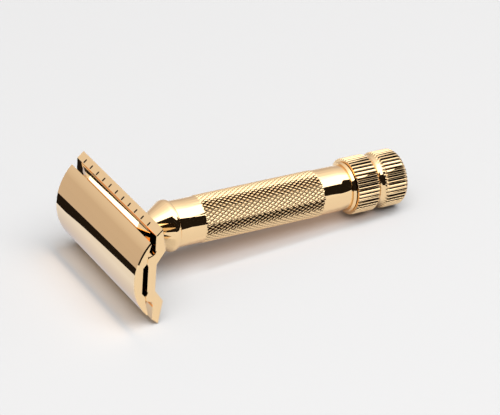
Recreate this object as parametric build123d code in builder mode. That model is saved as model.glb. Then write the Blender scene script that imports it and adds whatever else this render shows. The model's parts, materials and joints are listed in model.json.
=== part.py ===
from build123d import *
import os
from math import atan2, cos, degrees, sin

# Double-edge safety razor of the two-piece kind, lying on its side on the floor plane Z = 0.
# The cap clamps onto a guard plate with a cast neck. A knob at the far end of the knurled tube
# turns a draw rod, and the rod's threaded socket pulls the cap's stud down.
# Units are millimetres. The head points towards -X, the knob towards +X, and +Z is up.
#
# Every piece is drawn in the plane "side", which holds the handle's axis. Its X is the station,
# measured along the axis from the cap's crown, its Y is the distance from the axis, and its
# normal runs along the head's length.

# Cap
head_length = 42.0
cap_half_width = 9.9
cap_edge_station = 3.87
cap_recess_half_width = 3.4
cap_recess_station = 2.08
crown_edge_bevel = 0.3
plate_edge_bevel = 0.18

# Guard plate
guard_half_width = 12.9
guard_tip_station = 6.95
guard_floor_station = 5.3
guard_corner_half_width = 11.42
guard_length_margin = 0.1
web_top_station = 3.62
web_back_station = 5.75
bed_edge_half_width = 9.95
bed_foot_half_width = 10.65
bed_top_half_length = 8.0
bed_foot_half_length = 18.4

# Notches in the safety bars' sloping faces
notch_count = 11
notch_pitch = 3.33
notch_offset = 0.9
notch_half_width = 11.9
notch_length = 1.15
notch_width = 0.52
notch_depth = 0.45

# Neck and collar, cast in one with the guard plate
neck_radius = 4.0
neck_flare_radius = 6.2
neck_flare_station = 5.6
cone_start_station = 14.95
bead_start_station = 18.8
bead_radius = 6.5
bead_end_station = 20.1
bead_end_radius = 6.38
collar_end_station = 20.6

# Tube
tube_radius = 5.81
tube_bore_radius = 4.8
tube_end_station = 69.2
knurl_start_station = 27.6
knurl_end_station = 61.2
knurl_height = 0.12
seam_bevel = 0.15

# Knob, with two fluted rings and a waist between them
knob_radius = 7.2
knob_start_station = 70.2
knob_front_chamfer = 0.3
first_ring_end_station = 76.2
ring_foot_radius = 6.75
waist_station = 77.5
waist_radius = 6.3
second_ring_start_station = 78.85
second_ring_end_station = 83.7
overall_length = 85.0
knob_end_radius = 5.9
flute_count = 44
flute_radius = 0.26
flute_depth = 0.3

# Thread, pins, rod, bush, washer and screw
thread_radius = 2.5
running_clearance = 0.05
stud_start_station = 1.0
stud_end_station = 13.3
stud_tip_chamfer = 0.5
pin_radius = 1.5
pin_spacing = 22.0
pin_end_station = 5.6
pin_seat_station = 1.2
pin_tip_chamfer = 0.3
pin_hole_clearance = 0.1
rod_head_radius = 3.1
rod_head_station = 8.3
rod_socket_end_station = 14.5
rod_collar_radius = 4.5
rod_collar_length = 2.0
rod_collar_slope = 1.9
rod_radius = 2.1
rod_tail_radius = 1.75
rod_tail_end_station = 80.0
drill_point = 1.2
spigot_end_station = 25.0
neck_bore_end_station = 8.0
bush_length = 5.2
flange_radius = 6.45
flange_thickness = 0.85
flange_front_chamfer = 0.35
flange_back_chamfer = 0.2
washer_radius = 5.2
washer_thickness = 0.35
washer_recess_station = 70.43
washer_recess_radius = 5.4
screw_radius = 1.2
screw_head_radius = 2.9
screw_seat_station = 83.2
screw_top_station = 84.8
screw_end_station = 75.5
screw_slot_width = 0.7
screw_slot_depth = 0.6
screw_clearance = 0.1

# The razor rests on the guard bar's outer corner and on the knob's rim, which tilts its axis.
tilt = atan2(guard_half_width - knob_radius, second_ring_end_station - guard_tip_station)
along = Vector(cos(tilt), 0, -sin(tilt))
upward = Vector(sin(tilt), 0, cos(tilt))
crown_height = guard_tip_station * sin(tilt) + guard_half_width * cos(tilt)
crown_x = -(overall_length * cos(tilt) + knob_end_radius * sin(tilt)) / 2
crown = Vector(crown_x, 0, crown_height)
side = Plane(origin=crown, x_dir=along, z_dir=(0, -1, 0))
plan = Plane(origin=crown, x_dir=(0, -1, 0), z_dir=upward)
handle_axis = Axis(crown, along)


def across(station):
    """The plane square to the axis at a station: its X runs along the head's length."""
    return Plane(origin=crown + along * station, x_dir=(0, -1, 0), z_dir=along)


def on_side(points):
    """A closed outline through (station, radius) points, in the side plane."""
    with BuildSketch(side) as outline:
        with BuildLine():
            Polyline(*points, close=True)
        make_face()
    return outline.sketch


# ---- Cap: a curved bar whose hollow underside clamps the blade ----
with BuildPart() as cap:
    with BuildSketch(side):
        with BuildLine():
            crown_arc = ThreePointArc((0, 0), (1.062, 5.5), (cap_edge_station, cap_half_width))
            edge_end = (4.0, 9.58)
            Line(crown_arc @ 1, edge_end)
            underside = ThreePointArc(edge_end, (3.4, 7.3), (3.0, 4.5))
            Polyline(
                underside @ 1,
                (cap_recess_station, cap_recess_half_width),
                (cap_recess_station, 0),
                (0, 0),
            )
        make_face()
        mirror(about=Plane.XZ)
    extrude(amount=head_length / 2, both=True)
    end_faces = cap.faces().sort_by(Axis.Y)
    end_edges = end_faces[0].edges() + end_faces[-1].edges()
    crown_edges = end_edges.filter_by(GeomType.CIRCLE).group_by(SortBy.LENGTH)[-1]
    chamfer(crown_edges, length=crown_edge_bevel)
    with BuildSketch(across(stud_start_station)):
        Circle(thread_radius - running_clearance)
    extrude(amount=cap_edge_station, mode=Mode.SUBTRACT)
    with BuildSketch(across(pin_seat_station)):
        with GridLocations(pin_spacing, 0, 2, 1):
            Circle(pin_radius)
    extrude(amount=cap_edge_station, mode=Mode.SUBTRACT)

# ---- Stud: the cap's screw, pressed into its middle, with a plain pilot at its tip ----
with BuildPart() as cap_stud:
    with BuildSketch(across(stud_start_station)):
        Circle(thread_radius - running_clearance)
    extrude(amount=stud_end_station - stud_start_station)
    chamfer(cap_stud.faces().group_by(handle_axis)[-1].edges(), length=stud_tip_chamfer)

# ---- Locating pins: they hold the blade square and pass through the guard plate ----
with BuildPart() as locating_pins:
    with BuildSketch(across(pin_seat_station)):
        with GridLocations(pin_spacing, 0, 2, 1):
            Circle(pin_radius)
    extrude(amount=pin_end_station - pin_seat_station)
    chamfer(locating_pins.faces().group_by(handle_axis)[-1].edges(), length=pin_tip_chamfer)

# ---- Blade bed: the raised middle of the guard plate, with a long ramp down to each end ----
bed_root_station = guard_floor_station + 0.2
bed_inner_half_width = 5.7
bed_apex_station = 3.0
with BuildPart() as blade_bed:
    with BuildSketch(side):
        with BuildLine():
            bed_top = ThreePointArc(
                (3.3, bed_inner_half_width),
                (3.68, 7.5),
                (4.22, bed_edge_half_width),
            )
            Polyline(
                bed_top @ 1,
                (guard_floor_station - 0.1, bed_foot_half_width),
                (bed_root_station, bed_foot_half_width),
                (bed_root_station, bed_inner_half_width),
                (3.3, bed_inner_half_width),
            )
        make_face()
        mirror(about=Plane.XZ)
    extrude(amount=head_length / 2, both=True)
    with BuildSketch(plan):
        with BuildLine():
            Polyline(
                (-bed_top_half_length, bed_apex_station),
                (bed_top_half_length, bed_apex_station),
                (bed_foot_half_length, bed_root_station),
                (-bed_foot_half_length, bed_root_station),
                close=True,
            )
        make_face()
    extrude(amount=guard_half_width, both=True, mode=Mode.INTERSECT)

# ---- Guard plate: two notched safety bars, the blade bed, and the neck with its collar ----
with BuildPart() as guard_plate:
    with BuildSketch(side):
        with BuildLine():
            Polyline(
                (web_top_station, 0),
                (web_top_station, 3.4),
                (3.22, 4.4),
                (3.2, 5.1),
                (3.29, 5.8),
                (3.55, 6.05),
                (4.5, 6.35),
                (5.05, 6.75),
                (guard_floor_station, 7.4),
                (guard_floor_station, guard_corner_half_width),
                (guard_tip_station, guard_half_width),
                (8.0, 6.85),
                (web_back_station, 3.6),
                (web_back_station, 0),
                (web_top_station, 0),
            )
        make_face()
        mirror(about=Plane.XZ)
    extrude(amount=head_length / 2 - guard_length_margin, both=True)
    plate_ends = guard_plate.faces().sort_by(Axis.Y)
    chamfer(plate_ends[0].edges() + plate_ends[-1].edges(), length=plate_edge_bevel)
    add(blade_bed.part)
    with BuildSketch(side):
        with BuildLine():
            neck_flare = ThreePointArc(
                (neck_flare_station, neck_flare_radius),
                (7.3, 4.75),
                (10.0, neck_radius),
            )
            Line(neck_flare @ 1, (cone_start_station, neck_radius))
            Line((cone_start_station, neck_radius), (bead_start_station, 6.33))
            collar_bead = ThreePointArc(
                (bead_start_station, 6.33),
                (19.5, bead_radius),
                (bead_end_station, bead_end_radius),
            )
            rim = ThreePointArc(collar_bead @ 1, (20.31, 6.26), (20.4, 6.0))
            Polyline(
                rim @ 1,
                (collar_end_station, tube_radius - seam_bevel),
                (collar_end_station, tube_bore_radius),
                (spigot_end_station, tube_bore_radius),
                (spigot_end_station, 0),
                (neck_flare_station, 0),
                (neck_flare_station, neck_flare_radius),
            )
        make_face()
    revolve(axis=handle_axis)
    with BuildSketch(across(0)):
        Circle(thread_radius + pin_hole_clearance)
    extrude(amount=spigot_end_station, mode=Mode.SUBTRACT)
    with BuildSketch(across(neck_bore_end_station)):
        Circle(rod_head_radius + running_clearance)
    extrude(amount=spigot_end_station, mode=Mode.SUBTRACT)
    with BuildSketch(across(0)):
        with GridLocations(pin_spacing, 0, 2, 1):
            Circle(pin_radius + pin_hole_clearance)
    extrude(amount=2 * web_back_station, mode=Mode.SUBTRACT)
    bar_run = guard_half_width - guard_corner_half_width
    bar_rise = guard_tip_station - guard_floor_station
    notch_share = (notch_half_width - guard_corner_half_width) / bar_run
    notch_station = guard_floor_station + notch_share * bar_rise
    for edge_side in (1, -1):
        notch_plane = Plane(
            origin=crown + along * notch_station + upward * (edge_side * notch_half_width),
            x_dir=(0, -1, 0),
            z_dir=along * -bar_run + upward * (edge_side * bar_rise),
        )
        with BuildSketch(notch_plane):
            with Locations((-edge_side * notch_offset, 0)):
                with GridLocations(notch_pitch, 0, notch_count, 1):
                    SlotOverall(notch_length, notch_width, rotation=90)
        extrude(amount=-notch_depth, mode=Mode.SUBTRACT)

# ---- Handle tube: plain at both ends, with a raised knurled band between ----
knurl_radius = tube_radius + knurl_height
with BuildPart() as handle_tube:
    add(
        on_side(
            [
                (collar_end_station, tube_bore_radius),
                (collar_end_station, tube_radius - seam_bevel),
                (collar_end_station + seam_bevel, tube_radius),
                (knurl_start_station, tube_radius),
                (knurl_start_station + knurl_height, knurl_radius),
                (knurl_end_station - knurl_height, knurl_radius),
                (knurl_end_station, tube_radius),
                (tube_end_station - seam_bevel, tube_radius),
                (tube_end_station, tube_radius - seam_bevel),
                (tube_end_station, tube_bore_radius),
            ]
        )
    )
    revolve(axis=handle_axis)

# ---- End bush: closes the tube, carries the rod's far end and shows as a thin flange ----
bush_bore_radius = rod_radius + running_clearance
flange_end_station = tube_end_station + flange_thickness
with BuildPart() as end_bush:
    add(
        on_side(
            [
                (tube_end_station - bush_length, bush_bore_radius),
                (tube_end_station - bush_length, tube_bore_radius),
                (tube_end_station, tube_bore_radius),
                (tube_end_station, flange_radius - flange_front_chamfer),
                (tube_end_station + flange_front_chamfer, flange_radius),
                (flange_end_station - flange_back_chamfer, flange_radius),
                (flange_end_station, flange_radius - flange_back_chamfer),
                (flange_end_station, bush_bore_radius),
            ]
        )
    )
    revolve(axis=handle_axis)

# ---- Thrust washer: the knob pulls against it when the cap is tightened ----
with BuildPart() as thrust_washer:
    with BuildSketch(across(flange_end_station)):
        Circle(washer_radius)
        Circle(bush_bore_radius + running_clearance, mode=Mode.SUBTRACT)
    extrude(amount=washer_thickness)

# ---- Draw rod: threaded socket in the neck, stop collar, long shaft and turned-down tail ----
rod_collar_start = spigot_end_station + 0.15
rod_collar_end = rod_collar_start + rod_collar_length
screw_socket_floor = screw_end_station - 0.5
with BuildPart() as draw_rod:
    add(
        on_side(
            [
                (rod_head_station, thread_radius),
                (rod_head_station, rod_head_radius),
                (rod_collar_start, rod_head_radius),
                (rod_collar_start, rod_collar_radius),
                (rod_collar_end, rod_collar_radius),
                (rod_collar_end + rod_collar_slope, rod_radius),
                (washer_recess_station, rod_radius),
                (washer_recess_station, rod_tail_radius),
                (rod_tail_end_station, rod_tail_radius),
                (rod_tail_end_station, screw_radius),
                (screw_socket_floor, screw_radius),
                (screw_socket_floor - drill_point, 0),
                (rod_socket_end_station + drill_point, 0),
                (rod_socket_end_station, thread_radius),
            ]
        )
    )
    revolve(axis=handle_axis)

# ---- Knob: two fluted rings with a smooth waist, fixed on the rod's tail ----
waist_start_station = first_ring_end_station + 0.45
waist_end_station = second_ring_start_station - 0.3
rim_chamfer = 0.15
screw_head_pocket_radius = screw_head_radius + screw_clearance
screw_hole_radius = screw_radius + screw_clearance
with BuildPart() as knob:
    with BuildSketch(side):
        with BuildLine():
            Polyline(
                (washer_recess_station, rod_tail_radius),
                (washer_recess_station, washer_recess_radius),
                (knob_start_station, washer_recess_radius),
                (knob_start_station, knob_radius - knob_front_chamfer),
                (knob_start_station + knob_front_chamfer, knob_radius),
                (first_ring_end_station, knob_radius),
                (waist_start_station, ring_foot_radius),
            )
            ThreePointArc(
                (waist_start_station, ring_foot_radius),
                (waist_station, waist_radius),
                (waist_end_station, ring_foot_radius),
            )
            Polyline(
                (waist_end_station, ring_foot_radius),
                (second_ring_start_station, knob_radius - rim_chamfer),
                (second_ring_start_station + rim_chamfer, knob_radius),
                (second_ring_end_station, knob_radius),
            )
            ThreePointArc(
                (second_ring_end_station, knob_radius),
                (84.55, 6.7),
                (overall_length, knob_end_radius),
            )
            Polyline(
                (overall_length, knob_end_radius),
                (overall_length, screw_head_pocket_radius),
                (screw_seat_station, screw_head_pocket_radius),
                (screw_seat_station, screw_hole_radius),
                (rod_tail_end_station, screw_hole_radius),
                (rod_tail_end_station, rod_tail_radius),
                (washer_recess_station, rod_tail_radius),
            )
        make_face()
    revolve(axis=handle_axis)
    flute_centre_radius = knob_radius + flute_radius - flute_depth
    for start, end in (
        (knob_start_station - 0.1, waist_station),
        (waist_station, overall_length),
    ):
        with BuildSketch(across(start)):
            with PolarLocations(flute_centre_radius, flute_count, start_angle=180 / flute_count):
                Circle(flute_radius)
        extrude(amount=end - start, mode=Mode.SUBTRACT)

# ---- Knob screw: slotted cheese head, sunk in the knob's end face ----
with BuildPart() as knob_screw:
    add(
        on_side(
            [
                (screw_end_station, 0),
                (screw_end_station, screw_radius - 0.3),
                (screw_end_station + 0.3, screw_radius),
                (screw_seat_station, screw_radius),
                (screw_seat_station, screw_head_radius),
                (screw_top_station - 0.2, screw_head_radius),
                (screw_top_station, screw_head_radius - 0.2),
                (screw_top_station, 0),
            ]
        )
    )
    revolve(axis=handle_axis)
    with BuildSketch(across(screw_top_station - screw_slot_depth)):
        Rectangle(2 * screw_head_radius + 1, screw_slot_width)
    extrude(amount=screw_slot_depth + 0.1, mode=Mode.SUBTRACT)

os.makedirs("parts", exist_ok=True)

cap.part.label = "cap"
export_step(cap.part, "parts/cap.step")
cap_stud.part.label = "cap_stud"
export_step(cap_stud.part, "parts/cap_stud.step")
locating_pins.part.label = "locating_pins"
export_step(locating_pins.part, "parts/locating_pins.step")
guard_plate.part.label = "guard_plate"
export_step(guard_plate.part, "parts/guard_plate.step")
handle_tube.part.label = "handle_tube"
export_step(handle_tube.part, "parts/handle_tube.step")
end_bush.part.label = "end_bush"
export_step(end_bush.part, "parts/end_bush.step")
thrust_washer.part.label = "thrust_washer"
export_step(thrust_washer.part, "parts/thrust_washer.step")
draw_rod.part.label = "draw_rod"
export_step(draw_rod.part, "parts/draw_rod.step")
knob.part.label = "knob"
export_step(knob.part, "parts/knob.step")
knob_screw.part.label = "knob_screw"
export_step(knob_screw.part, "parts/knob_screw.step")

print("tilt", round(degrees(tilt), 3), "crown", [round(c, 3) for c in crown])
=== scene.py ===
import json
from math import cos, pi, radians, sin, tan

import bpy
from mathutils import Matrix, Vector


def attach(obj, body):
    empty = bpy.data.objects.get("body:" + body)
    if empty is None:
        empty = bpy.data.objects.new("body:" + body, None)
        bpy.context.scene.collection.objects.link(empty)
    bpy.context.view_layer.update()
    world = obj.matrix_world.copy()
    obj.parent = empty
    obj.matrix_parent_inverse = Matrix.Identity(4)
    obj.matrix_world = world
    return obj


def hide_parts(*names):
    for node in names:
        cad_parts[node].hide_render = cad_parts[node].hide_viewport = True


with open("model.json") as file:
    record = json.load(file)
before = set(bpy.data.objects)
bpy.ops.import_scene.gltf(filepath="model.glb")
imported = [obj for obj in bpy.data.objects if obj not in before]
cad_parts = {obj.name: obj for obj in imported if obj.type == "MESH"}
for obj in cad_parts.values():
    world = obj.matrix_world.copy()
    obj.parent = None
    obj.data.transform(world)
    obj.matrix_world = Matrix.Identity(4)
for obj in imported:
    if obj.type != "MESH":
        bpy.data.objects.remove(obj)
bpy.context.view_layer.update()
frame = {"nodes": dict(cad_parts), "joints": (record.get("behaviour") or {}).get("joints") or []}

# Double-edge safety razor, polished gold plate, lying on its side.
# The turned pieces are drawn in millimetres in the razor's own terms: "station" is measured along
# the handle's axis from the cap's crown, "radius" from the axis, and the angle runs from the head's
# near end towards the upper guard bar. The studio is in millimetres too, in the row frame.
MM = 0.001
WAIST_STATION = 77.5

# Tube and knurl. The stations and radii are those of the CAD, and the diamonds are only here.
# KNURL_FLAT is the share of each diamond's point that is cut off flat, and KNURL_CELLS the number
# of mesh columns to a diamond.
TUBE_RADIUS = 5.81
TUBE_BORE = 4.8
TUBE_START = 20.6
TUBE_END = 69.2
TUBE_BEVEL = 0.15
BEVEL_MIDDLE_STATION = 0.05
BEVEL_MIDDLE_RADIUS = 0.04
PLAIN_RING_INSET = 3.0
KNURL_START = 27.6
KNURL_END = 61.2
KNURL_RADIUS = 5.93
KNURL_RUN_IN = 0.1
KNURL_RUN_OUT = 0.15
KNURL_FADE_ROWS = 3
KNURL_DEPTH = 0.25
KNURL_FLAT = 0.3
KNURL_STARTS = 35
KNURL_AXIAL_PITCH = 1.64
KNURL_CELLS = 8

# Knob. FLUTE_SHARE is the part of the pitch that a flute takes, and FLUTE_STEPS the number of mesh
# columns to a pitch. The outline is fluted where it is beyond FLUTED_ABOVE_RADIUS.
KNOB_RADIUS = 7.2
KNOB_START = 70.2
KNOB_END = 85.0
FLUTES = 44
FLUTE_DEPTH = 0.34
FLUTE_SHARE = 0.7
FLUTE_STEPS = 12
FLUTES_FADE_RADIUS = 6.3
FLUTED_ABOVE_RADIUS = 6.6

# The knob's section as (station, radius, rounding of that corner)
KNOB_OUTLINE = (
    # Front face and first ring
    (70.43, 1.75, 0),
    (70.43, 5.4, 0),
    (KNOB_START, 5.4, 0),
    (KNOB_START, 7.1, 0.08),
    (70.45, KNOB_RADIUS, 0.1),
    (76.15, KNOB_RADIUS, 0.25),
    # Waist
    (76.65, 6.7, 0.1),
    (76.95, 6.42, 0.4),
    (77.5, 6.3, 0.6),
    (78.25, 6.45, 0.4),
    # Second ring and end
    (78.7, 6.8, 0.1),
    (78.85, 7.05, 0.06),
    (79.05, KNOB_RADIUS, 0.08),
    (84.0, KNOB_RADIUS, 0.7),
    (84.8, 6.6, 0.5),
    (KNOB_END, 5.8, 0.15),
    # Screw seat and bore
    (KNOB_END, 3.0, 0.1),
    (83.2, 3.0, 0),
    (83.2, 1.3, 0),
    (80.0, 1.3, 0),
    (80.0, 1.75, 0),
)

# Stud
STUD_START = 1.0
STUD_END = 13.3
STUD_RADIUS = 2.45
STUD_COLUMNS = 96
THREAD_START = 3.0
THREAD_END = 12.3
THREAD_PITCH = 0.8
THREAD_DEPTH = 0.42
THREAD_HALF_GROOVE = 0.44
THREAD_FADE_LENGTH = 0.6
THREAD_ROWS_PER_TURN = 16
PILOT_START = 12.5
PILOT_RADIUS = 2.1
TIP_CHAMFER = 0.35
TIP_RADIUS = 1.75

# Materials: colours, and the noises that vary them
GOLD = (0.96, 0.69, 0.39)
GOLD_DRIFT = 0.015
GOLD_DRIFT_SCALE = 60.0
# Colour of the painted shade that darkens the gold in its recesses
RECESS_PAINTED_SHADE = (0.035, 0.02, 0.01)
HAIRLINE_RANGE = (0.3, 0.7)
GOLD_ROUGHNESS = 0.025
SMOOTHEST = 0.75
ROUGHEST = 1.3
STEEL_DARK = (0.50, 0.49, 0.48)
STEEL_LIGHT = (0.62, 0.61, 0.60)
STEEL_LAY_SCALE = 900.0
STEEL_ROUGHNESS = (0.22, 0.42)

knob_joint = next(j for j in frame["joints"] if j["name"] == "knob_turn")
ALONG = Vector(knob_joint["axis"]).normalized()
ACROSS = Vector((0.0, -1.0, 0.0))
UPWARD = ACROSS.cross(ALONG)
CROWN = Vector(knob_joint["pos_m"]) - ALONG * WAIST_STATION * MM


def place(station, radius, angle):
    """The point at a station, radius and angle, in metres in the row frame."""
    sideways = ACROSS * cos(angle) + UPWARD * sin(angle)
    return CROWN + (ALONG * station + sideways * radius) * MM


# ------------------------------------------------------------------ mesh helpers

def new_piece(name, points, faces, sharp_angle=32.0):
    """A smooth-shaded mesh object with its sharp edges marked."""
    mesh = bpy.data.meshes.new(name)
    mesh.from_pydata([tuple(p) for p in points], [], faces)
    mesh.validate()
    mesh.shade_smooth()
    mesh.set_sharp_from_angle(angle=radians(sharp_angle))
    piece = bpy.data.objects.new(name, mesh)
    bpy.context.scene.collection.objects.link(piece)
    return piece


# A corner's arc takes at most this share of either run beside it
CORNER_SHARE = 0.49


def rounded(outline, steps=4):
    """The outline with each corner (station, radius, rounding) turned into a small arc."""
    made = []
    count = len(outline)
    for i, (x, y, rounding) in enumerate(outline):
        if not rounding:
            made.append((x, y))
            continue
        before = Vector(outline[i - 1][:2])
        after = Vector(outline[(i + 1) % count][:2])
        corner = Vector((x, y))
        a = (before - corner).normalized()
        b = (after - corner).normalized()
        half = a.angle(b) / 2
        room = CORNER_SHARE * min((before - corner).length, (after - corner).length)
        reach = min(rounding / tan(half), room)
        centre = corner + (a + b).normalized() * (reach / cos(half))
        start = corner + a * reach - centre
        end = corner + b * reach - centre
        turn = start.angle_signed(end)
        for k in range(steps + 1):
            share = -turn * k / steps
            c, s = cos(share), sin(share)
            made.append((
                centre.x + start.x * c - start.y * s,
                centre.y + start.x * s + start.y * c,
            ))
    return made


def lathe(name, rings, columns, triangles=None):
    """A turned ring with a bore. rings is a closed section of (station, radius), where radius is a
    number or a function of the column, and triangles may split a quad."""
    points = []
    for station, radius in rings:
        for column in range(columns):
            r = radius(column) if callable(radius) else radius
            points.append(place(station, r, 2 * pi * column / columns))
    faces = []
    count = len(rings)
    for i in range(count):
        lower = i * columns
        upper = ((i + 1) % count) * columns
        for column in range(columns):
            nxt = (column + 1) % columns
            quad = (lower + column, upper + column, upper + nxt, lower + nxt)
            faces.extend(triangles(i, column, quad) if triangles else [quad])
    return new_piece(name, points, faces)


def capped_lathe(name, rings, columns):
    """A turned piece with no bore, closed by flat faces at its first and last rings. A radius may be
    a function of the station and the column."""
    points = []
    for station, radius in rings:
        for column in range(columns):
            r = radius(station, column) if callable(radius) else radius
            points.append(place(station, r, 2 * pi * column / columns))
    faces = []
    for i in range(len(rings) - 1):
        lower, upper = i * columns, (i + 1) * columns
        for column in range(columns):
            nxt = (column + 1) % columns
            faces.append((lower + column, upper + column, upper + nxt, lower + nxt))
    faces.append(tuple(range(columns)))
    last = (len(rings) - 1) * columns
    faces.append(tuple(range(last + columns - 1, last - 1, -1)))
    return new_piece(name, points, faces)


# ------------------------------------------------------------------ turned pieces

def make_tube():
    """The handle tube, with a diamond knurl cut by two opposed sets of helical grooves."""
    columns = KNURL_STARTS * KNURL_CELLS
    step = KNURL_AXIAL_PITCH / KNURL_CELLS
    rows = int((KNURL_END - KNURL_START) / step)
    rings = [
        (TUBE_START, TUBE_BORE),
        (TUBE_START, TUBE_RADIUS - TUBE_BEVEL),
        (TUBE_START + BEVEL_MIDDLE_STATION, TUBE_RADIUS - BEVEL_MIDDLE_RADIUS),
        (TUBE_START + TUBE_BEVEL, TUBE_RADIUS),
        (TUBE_START + PLAIN_RING_INSET, TUBE_RADIUS),
        (KNURL_START - KNURL_RUN_IN, TUBE_RADIUS),
    ]
    first_knurl = len(rings)

    def knurled(row):
        def radius(column):
            rising = ((column + row) / KNURL_CELLS) % 1.0
            falling = ((column - row) / KNURL_CELLS) % 1.0
            rise = min(rising, 1 - rising) * 2
            fall = min(falling, 1 - falling) * 2
            relief = min(rise, fall, 1 - KNURL_FLAT) / (1 - KNURL_FLAT)
            fade = min(1.0, (row + 1) / KNURL_FADE_ROWS, (rows + 1 - row) / KNURL_FADE_ROWS)
            crest = TUBE_RADIUS + (KNURL_RADIUS - TUBE_RADIUS) * fade
            return crest - KNURL_DEPTH * fade * (1 - relief)
        return radius

    rings += [(KNURL_START + step * row, knurled(row)) for row in range(rows + 1)]
    rings += [
        (KNURL_END + KNURL_RUN_OUT, TUBE_RADIUS),
        (TUBE_END - PLAIN_RING_INSET, TUBE_RADIUS),
        (TUBE_END - TUBE_BEVEL, TUBE_RADIUS),
        (TUBE_END - BEVEL_MIDDLE_STATION, TUBE_RADIUS - BEVEL_MIDDLE_RADIUS),
        (TUBE_END, TUBE_RADIUS - TUBE_BEVEL),
        (TUBE_END, TUBE_BORE),
    ]

    def split(ring, column, quad):
        """Quads that a crest or a groove crosses are split along it."""
        row = ring - first_knurl
        if not 0 <= row < rows:
            return [quad]
        a, b, c, d = quad
        if (column + row + 1) % KNURL_CELLS == 0:
            return [(a, b, d), (b, c, d)]
        if (column - row) % KNURL_CELLS == 0:
            return [(a, b, c), (a, c, d)]
        return [quad]

    return lathe("knurled_tube", rings, columns, split)


def fluted(radius):
    """A ring of the knob's outline with its flutes, which fade out towards the rounded edges."""
    fade = min(1.0, (radius - FLUTES_FADE_RADIUS) / (KNOB_RADIUS - FLUTES_FADE_RADIUS))

    def cut(column):
        phase = (column / FLUTE_STEPS) % 1.0
        off = min(1.0, min(phase, 1 - phase) / (FLUTE_SHARE / 2))
        return radius - FLUTE_DEPTH * fade * (1 + cos(pi * off)) / 2

    return cut


def make_knob():
    """The knob: two fluted rings, a smooth waist and a sunk screw seat."""
    rings = []
    for station, radius in rounded(KNOB_OUTLINE):
        rings.append((station, fluted(radius) if radius > FLUTED_ABOVE_RADIUS else radius))
    return lathe("fluted_knob", rings, FLUTES * FLUTE_STEPS)


def make_stud():
    """The cap's stud, with a right-hand thread between a plain root and a plain pilot."""
    length = THREAD_END - THREAD_START

    def profile(station, column):
        phase = (station / THREAD_PITCH + column / STUD_COLUMNS) % 1.0
        groove = max(0.0, 1 - abs(phase - 0.5) / THREAD_HALF_GROOVE)
        fade_in = max(0.0, (station - THREAD_START) / THREAD_FADE_LENGTH)
        fade_out = max(0.0, (THREAD_END - station) / THREAD_FADE_LENGTH)
        return STUD_RADIUS - THREAD_DEPTH * groove * min(1.0, fade_in, fade_out)

    rows = int(length / THREAD_PITCH * THREAD_ROWS_PER_TURN)
    rings = [(STUD_START, STUD_RADIUS)]
    rings += [(THREAD_START + length * k / rows, profile) for k in range(rows + 1)]
    rings += [
        (PILOT_START, PILOT_RADIUS),
        (STUD_END - TIP_CHAMFER, PILOT_RADIUS),
        (STUD_END, TIP_RADIUS),
    ]
    return capped_lathe("threaded_stud", rings, STUD_COLUMNS)


# ------------------------------------------------------------------ materials

def shader_nodes(name):
    """A new material, its node tree and its shader."""
    material = bpy.data.materials.new(name)
    material.use_nodes = True
    tree = material.node_tree
    return material, tree, tree.nodes["Principled BSDF"]


def noise(tree, scale, detail):
    """The factor of a noise in the piece's own coordinates."""
    coords = tree.nodes.new("ShaderNodeTexCoord")
    texture = tree.nodes.new("ShaderNodeTexNoise")
    texture.inputs["Scale"].default_value = scale
    texture.inputs["Detail"].default_value = detail
    tree.links.new(coords.outputs["Object"], texture.inputs["Vector"])
    return texture.outputs["Fac"]


def spread(tree, value, low, high, from_low=0.0, from_high=1.0):
    """The value, mapped from one range to another."""
    node = tree.nodes.new("ShaderNodeMapRange")
    node.inputs["From Min"].default_value = from_low
    node.inputs["From Max"].default_value = from_high
    node.inputs["To Min"].default_value = low
    node.inputs["To Max"].default_value = high
    tree.links.new(value, node.inputs["Value"])
    return node.outputs["Result"]


def blend_colour(tree, factor, low, high):
    """A colour between low and high, where high may be a colour or another node's output."""
    node = tree.nodes.new("ShaderNodeMix")
    node.data_type = "RGBA"
    node.inputs["A"].default_value = (*low, 1)
    if isinstance(high, bpy.types.NodeSocket):
        tree.links.new(high, node.inputs["B"])
    else:
        node.inputs["B"].default_value = (*high, 1)
    tree.links.new(factor, node.inputs["Factor"])
    return node.outputs["Result"]


def polished_gold(name, ripple_scale, ripple_height, hairline_scale, recess_shade):
    """Gold plate: faint colour drift, hairlines in the gloss, the slow ripple of the metal below,
    and painted shade in the recesses, laid in by ambient occlusion. recess_shade is the reach in
    metres, the openness at which the painted shade is full, and the openness at which it is gone."""
    material, tree, shader = shader_nodes(name)
    nodes, links = tree.nodes, tree.links

    paler = [min(1.0, c * (1 + GOLD_DRIFT)) for c in GOLD]
    deeper = [c * (1 - GOLD_DRIFT) for c in GOLD]
    gold = blend_colour(tree, noise(tree, GOLD_DRIFT_SCALE, 2.0), deeper, paler)
    reach, shade_full, shade_gone = recess_shade
    # Painted shade: where ambient occlusion finds a recess, the gold's colour goes over to a
    # near-black brown
    openness = nodes.new("ShaderNodeAmbientOcclusion")
    openness.samples = 8
    openness.only_local = True
    openness.inputs["Distance"].default_value = reach
    unshaded = spread(tree, openness.outputs["AO"], 0.0, 1.0, shade_full, shade_gone)
    links.new(blend_colour(tree, unshaded, RECESS_PAINTED_SHADE, gold), shader.inputs["Base Color"])

    hairlines = noise(tree, hairline_scale, 6.0)
    smoothest, roughest = GOLD_ROUGHNESS * SMOOTHEST, GOLD_ROUGHNESS * ROUGHEST
    gloss = spread(tree, hairlines, smoothest, roughest, *HAIRLINE_RANGE)
    links.new(gloss, shader.inputs["Roughness"])

    bump = nodes.new("ShaderNodeBump")
    bump.inputs["Strength"].default_value = 1.0
    bump.inputs["Distance"].default_value = ripple_height
    links.new(noise(tree, ripple_scale, 3.0), bump.inputs["Height"])
    links.new(bump.outputs["Normal"], shader.inputs["Normal"])

    shader.inputs["Metallic"].default_value = 1.0
    return material


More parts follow.
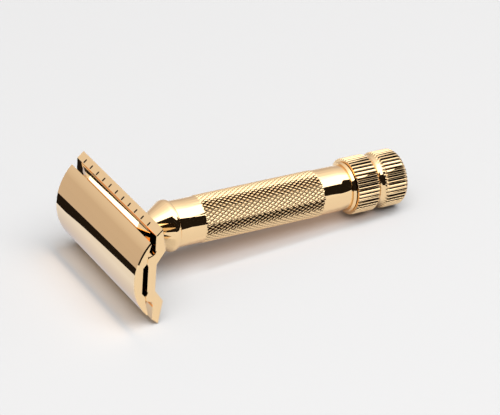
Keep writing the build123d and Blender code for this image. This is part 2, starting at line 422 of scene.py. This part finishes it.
def turned_steel(name):
    """Unplated turned steel with a fine lay."""
    material, tree, shader = shader_nodes(name)
    lay = noise(tree, STEEL_LAY_SCALE, 4.0)
    tree.links.new(spread(tree, lay, *STEEL_ROUGHNESS), shader.inputs["Roughness"])
    tree.links.new(blend_colour(tree, lay, STEEL_DARK, STEEL_LIGHT), shader.inputs["Base Color"])
    shader.inputs["Metallic"].default_value = 1.0
    return material


# The last three numbers of each set the painted shade in its recesses
cast_gold = polished_gold("cast_gold_plate", 180.0, 0.000002, 2500.0, (0.0012, 0.5, 0.88))
turned_gold = polished_gold("turned_gold_plate", 220.0, 0.000001, 3000.0, (0.0003, 0.64, 1.0))
fluted_gold = polished_gold("fluted_gold_plate", 180.0, 0.000001, 2500.0, (0.0004, 0.72, 1.0))
steel = turned_steel("turned_steel")


def finish_node(name, material):
    """Give a carried-over CAD node its material."""
    slots = frame["nodes"][name].data.materials
    slots.clear()
    slots.append(material)


for node in ("cap", "guard_plate"):
    finish_node(node, cast_gold)
for node in ("end_bush", "locating_pins"):
    finish_node(node, turned_gold)
for node in ("draw_rod", "thrust_washer", "knob_screw"):
    finish_node(node, steel)

for piece, body, node, material, slot in (
    (make_tube(), "handle", "handle_tube", turned_gold, "gold_turned"),
    (make_knob(), "knob", "knob", fluted_gold, "gold_cast"),
    (make_stud(), "cap", "cap_stud", turned_gold, "gold_turned"),
):
    piece.data.materials.append(material)
    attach(piece, body)
    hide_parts(node)


# ------------------------------------------------------------------ studio

FLOOR_REACH = 4000
FLOOR_ALBEDO = 0.1425
FLOOR_CARD_Z = 0.4
NEAR_CARD_Z = 0.2
STRIP_Z = 53.5
FRONT_Y = -150

# The black flag in front of the razor, as (x, z), which the gold mirrors as a dark band
FRONT_FLAG = (
    (-400, 10),
    (-400, 560),
    (-273, 455),
    (0, 203),
    (100, 168),
    (160, 172),
    (200, 215),
    (235, 262),
    (330, 340),
    (600, 340),
    (600, 10),
)
RIGHT_FLAG = ((300, -150, 2), (300, 45, 2), (300, 45, 120), (300, -150, 120))

# Cards just above the floor, as (x, y)
FLOOR_STRIP = ((-83, -30), (-139, -30), (-24, 150), (-11, 150))
BACK_FLOOR = ((-139, -30), (-4000, -2000), (-4000, 4000), (4000, 4000), (4000, 150), (-24, 150))
NEAR_FLOOR = ((-37, -19), (-139, -19), (-139, 150), (-37, 150))

# Where the near card's colour starts and stops changing, in metres. The card is a painted reflection
# of the floor beside the head, darker towards the head as a painted shadow of the razor.
NEAR_FLOOR_INNER_X = -0.030
NEAR_FLOOR_OUTER_X = -0.053

# The light, and the flag beside it, that show in the plate's bed, as (x, y)
STRIP_LIGHT = ((-54.5, 27), (-51.6, 27), (-52.1, 54.5), (-54.5, 54.5))
STRIP_FLAG = ((-51.6, 22), (-46, 22), (-46, 62), (-52.2, 62))

# Unseen glowing cards beside the head, beside the tube and under it
HEAD_SIDE = ((-44, -22, 2), (-44, 21, 2), (-44, 21, 8), (-44, -22, 8))
TUBE_SIDE = ((-15, -6.5, 1.5), (38, -6.5, 1.5), (38, -6.5, 5), (-15, -6.5, 5))
UNDER_TUBE = ((-24, -4, 5.2), (34, -4, 1.2), (34, 4, 1.2), (-24, 4, 5.2))

# Brightness of the ceiling and the room behind, against how far along Y a ray goes for its rise
BACK_TONE = (1.03, 0.93, 0.88)
SKY_LEVELS = (
    (0.12, 2.5),
    (0.2, 1.8),
    (0.36, 1.4),
    (0.5, 1.18),
    (0.8, 1.0),
    (1.2, 0.88),
    (1.5, 0.83),
    (2.0, 0.76),
    (3.0, 0.68),
    (4.0, 0.61),
)
LEAST_RISE = 0.001

# The area light, in metres
SOFTBOX_AT = (0.1, -0.8, 2.0)
SOFTBOX_SIZE = (2.6, 2.0)
SOFTBOX_WATTS = 285.0


def plain_face(name, corners, material):
    """A flat face of the studio, which belongs to no body."""
    mesh = bpy.data.meshes.new(name)
    mesh.from_pydata([tuple(Vector(c) * MM) for c in corners], [], [tuple(range(len(corners)))])
    face = bpy.data.objects.new(name, mesh)
    bpy.context.scene.collection.objects.link(face)
    mesh.materials.append(material)
    return face


def glow(name, colour, strength):
    """A material that only gives light."""
    material = bpy.data.materials.new(name)
    material.use_nodes = True
    tree = material.node_tree
    tree.nodes.clear()
    emission = tree.nodes.new("ShaderNodeEmission")
    emission.inputs["Color"].default_value = (*colour, 1)
    emission.inputs["Strength"].default_value = strength
    output = tree.nodes.new("ShaderNodeOutputMaterial")
    tree.links.new(emission.outputs["Emission"], output.inputs["Surface"])
    return material


def graded_glow(name, inner, outer, inner_x, outer_x):
    """A glow that goes along X from one colour at inner_x to another at outer_x."""
    material = glow(name, outer, 1.0)
    nodes, links = material.node_tree.nodes, material.node_tree.links
    coords = nodes.new("ShaderNodeTexCoord")
    split = nodes.new("ShaderNodeSeparateXYZ")
    links.new(coords.outputs["Object"], split.inputs["Vector"])
    share = spread(material.node_tree, split.outputs["X"], 0.0, 1.0, inner_x, outer_x)
    colour = blend_colour(material.node_tree, share, inner, outer)
    links.new(colour, nodes["Emission"].inputs["Color"])
    return material


def studio_card(name, corners, material):
    """A card that only shows in the metal's reflections."""
    card = plain_face(name, corners, material)
    card.visible_camera = False
    card.visible_diffuse = False
    card.visible_shadow = False


def bounce_card(name, corners, colour, strength):
    """A card that only lights the floor, with the warm light that gold throws on what is near it."""
    card = plain_face(name, corners, glow(name, colour, strength))
    card.visible_camera = False
    card.visible_glossy = False
    card.visible_shadow = False


def level(outline, z):
    """The outline's points at one height."""
    return [(x, y, z) for x, y in outline]


def pale_floor():
    material, tree, shader = shader_nodes("pale_floor")
    shader.inputs["Base Color"].default_value = (FLOOR_ALBEDO, FLOOR_ALBEDO, FLOOR_ALBEDO, 1)
    shader.inputs["Roughness"].default_value = 0.9
    shader.inputs["Specular IOR Level"].default_value = 0.1
    r = FLOOR_REACH
    plain_face("floor", level([(-r, -r), (r, -r), (r, r), (-r, r)], 0), material)


def reflected_cards():
    """What the gold mirrors besides the sky."""
    black = glow("black_card", (0.014, 0.011, 0.009), 1.0)
    grey = glow("grey_card", BACK_TONE, 0.6)
    bright = glow("strip_light", (1, 1, 1), 3.0)
    # The near card's colours: painted shadow of the razor on the floor by the head, going over to
    # the cool open floor
    inner, outer = (0.42, 0.34, 0.30), (0.84, 0.92, 1.10)
    painted_floor_reflection = graded_glow("cool_floor_painted_reflection", inner, outer, NEAR_FLOOR_INNER_X, NEAR_FLOOR_OUTER_X)
    studio_card("front_flag", [(x, FRONT_Y, z) for x, z in FRONT_FLAG], black)
    studio_card("right_flag", RIGHT_FLAG, black)
    studio_card("floor_strip", level(FLOOR_STRIP, FLOOR_CARD_Z), black)
    studio_card("back_floor", level(BACK_FLOOR, FLOOR_CARD_Z), grey)
    studio_card("near_floor", level(NEAR_FLOOR, NEAR_CARD_Z), painted_floor_reflection)
    studio_card("strip", level(STRIP_LIGHT, STRIP_Z), bright)
    studio_card("strip_flag", level(STRIP_FLAG, STRIP_Z), black)


pale_floor()
reflected_cards()
bounce_card("tube_bounce", TUBE_SIDE, (1.0, 0.45, 0.14), 1.4)
bounce_card("under_bounce", UNDER_TUBE, (1.0, 0.66, 0.45), 2.4)
bounce_card("head_bounce", HEAD_SIDE, (1.0, 0.7, 0.46), 7.0)


def studio_world():
    """A ceiling that is brightest overhead and in front, and darkens towards the back."""
    world = bpy.data.worlds.new("studio")
    bpy.context.scene.world = world
    world.use_nodes = True
    nodes, links = world.node_tree.nodes, world.node_tree.links
    background = nodes["Background"]
    coords = nodes.new("ShaderNodeTexCoord")
    split = nodes.new("ShaderNodeSeparateXYZ")
    links.new(coords.outputs["Generated"], split.inputs["Vector"])
    height = nodes.new("ShaderNodeMath")
    height.operation = "MAXIMUM"
    height.inputs[1].default_value = LEAST_RISE
    links.new(split.outputs["Z"], height.inputs[0])
    slope = nodes.new("ShaderNodeMath")
    slope.operation = "DIVIDE"
    links.new(split.outputs["Y"], slope.inputs[0])
    links.new(height.outputs["Value"], slope.inputs[1])
    furthest, brightest = SKY_LEVELS[-1][0], SKY_LEVELS[0][1]
    share = nodes.new("ShaderNodeMath")
    share.operation = "DIVIDE"
    share.use_clamp = True
    share.inputs[1].default_value = furthest
    links.new(slope.outputs["Value"], share.inputs[0])
    ramp = nodes.new("ShaderNodeValToRGB")
    stops = ramp.color_ramp.elements
    stops[0].position = SKY_LEVELS[0][0] / furthest
    stops[1].position = 1.0
    for at, level in SKY_LEVELS[1:-1]:
        stops.new(at / furthest)
    for stop, (at, level) in zip(stops, SKY_LEVELS):
        warmth = at / furthest
        stop.color = (*[level / brightest * (1 + warmth * (tone - 1)) for tone in BACK_TONE], 1)
    links.new(share.outputs["Value"], ramp.inputs["Fac"])
    links.new(ramp.outputs["Color"], background.inputs["Color"])
    background.inputs["Strength"].default_value = brightest


studio_world()


def softbox():
    """The overhead soft light. The metal doesn't mirror it: the ceiling stands in for it there."""
    data = bpy.data.lights.new("softbox", "AREA")
    data.shape = "RECTANGLE"
    data.size, data.size_y = SOFTBOX_SIZE
    data.energy = SOFTBOX_WATTS
    light = bpy.data.objects.new("softbox", data)
    bpy.context.scene.collection.objects.link(light)
    light.location = SOFTBOX_AT
    light.rotation_euler = Vector(SOFTBOX_AT).to_track_quat("Z", "Y").to_euler()
    light.visible_glossy = False
    light.visible_camera = False


softbox()


# ------------------------------------------------------------------ camera

VIEW_AZIMUTH = radians(-29.45)
VIEW_ELEVATION = radians(31.33)
VIEW_DISTANCE = 650.0
LOOK_AT = (0.75, 1.1, 9.4)
LENS = 189.5
SENSOR_WIDTH = 36.0


def make_camera():
    """The camera, at the angle from which the razor is to be seen."""
    back = Vector((
        sin(VIEW_AZIMUTH) * cos(VIEW_ELEVATION),
        -cos(VIEW_AZIMUTH) * cos(VIEW_ELEVATION),
        sin(VIEW_ELEVATION),
    ))
    data = bpy.data.cameras.new("camera")
    data.lens = LENS
    data.sensor_width = SENSOR_WIDTH
    data.clip_start = 0.01
    data.clip_end = 20.0
    camera = bpy.data.objects.new("camera", data)
    bpy.context.scene.collection.objects.link(camera)
    camera.location = (Vector(LOOK_AT) + back * VIEW_DISTANCE) * MM
    camera.rotation_euler = back.to_track_quat("Z", "Y").to_euler()
    bpy.context.scene.camera = camera


make_camera()

scene = bpy.context.scene
scene.view_settings.view_transform = "Standard"
scene.view_settings.look = "None"
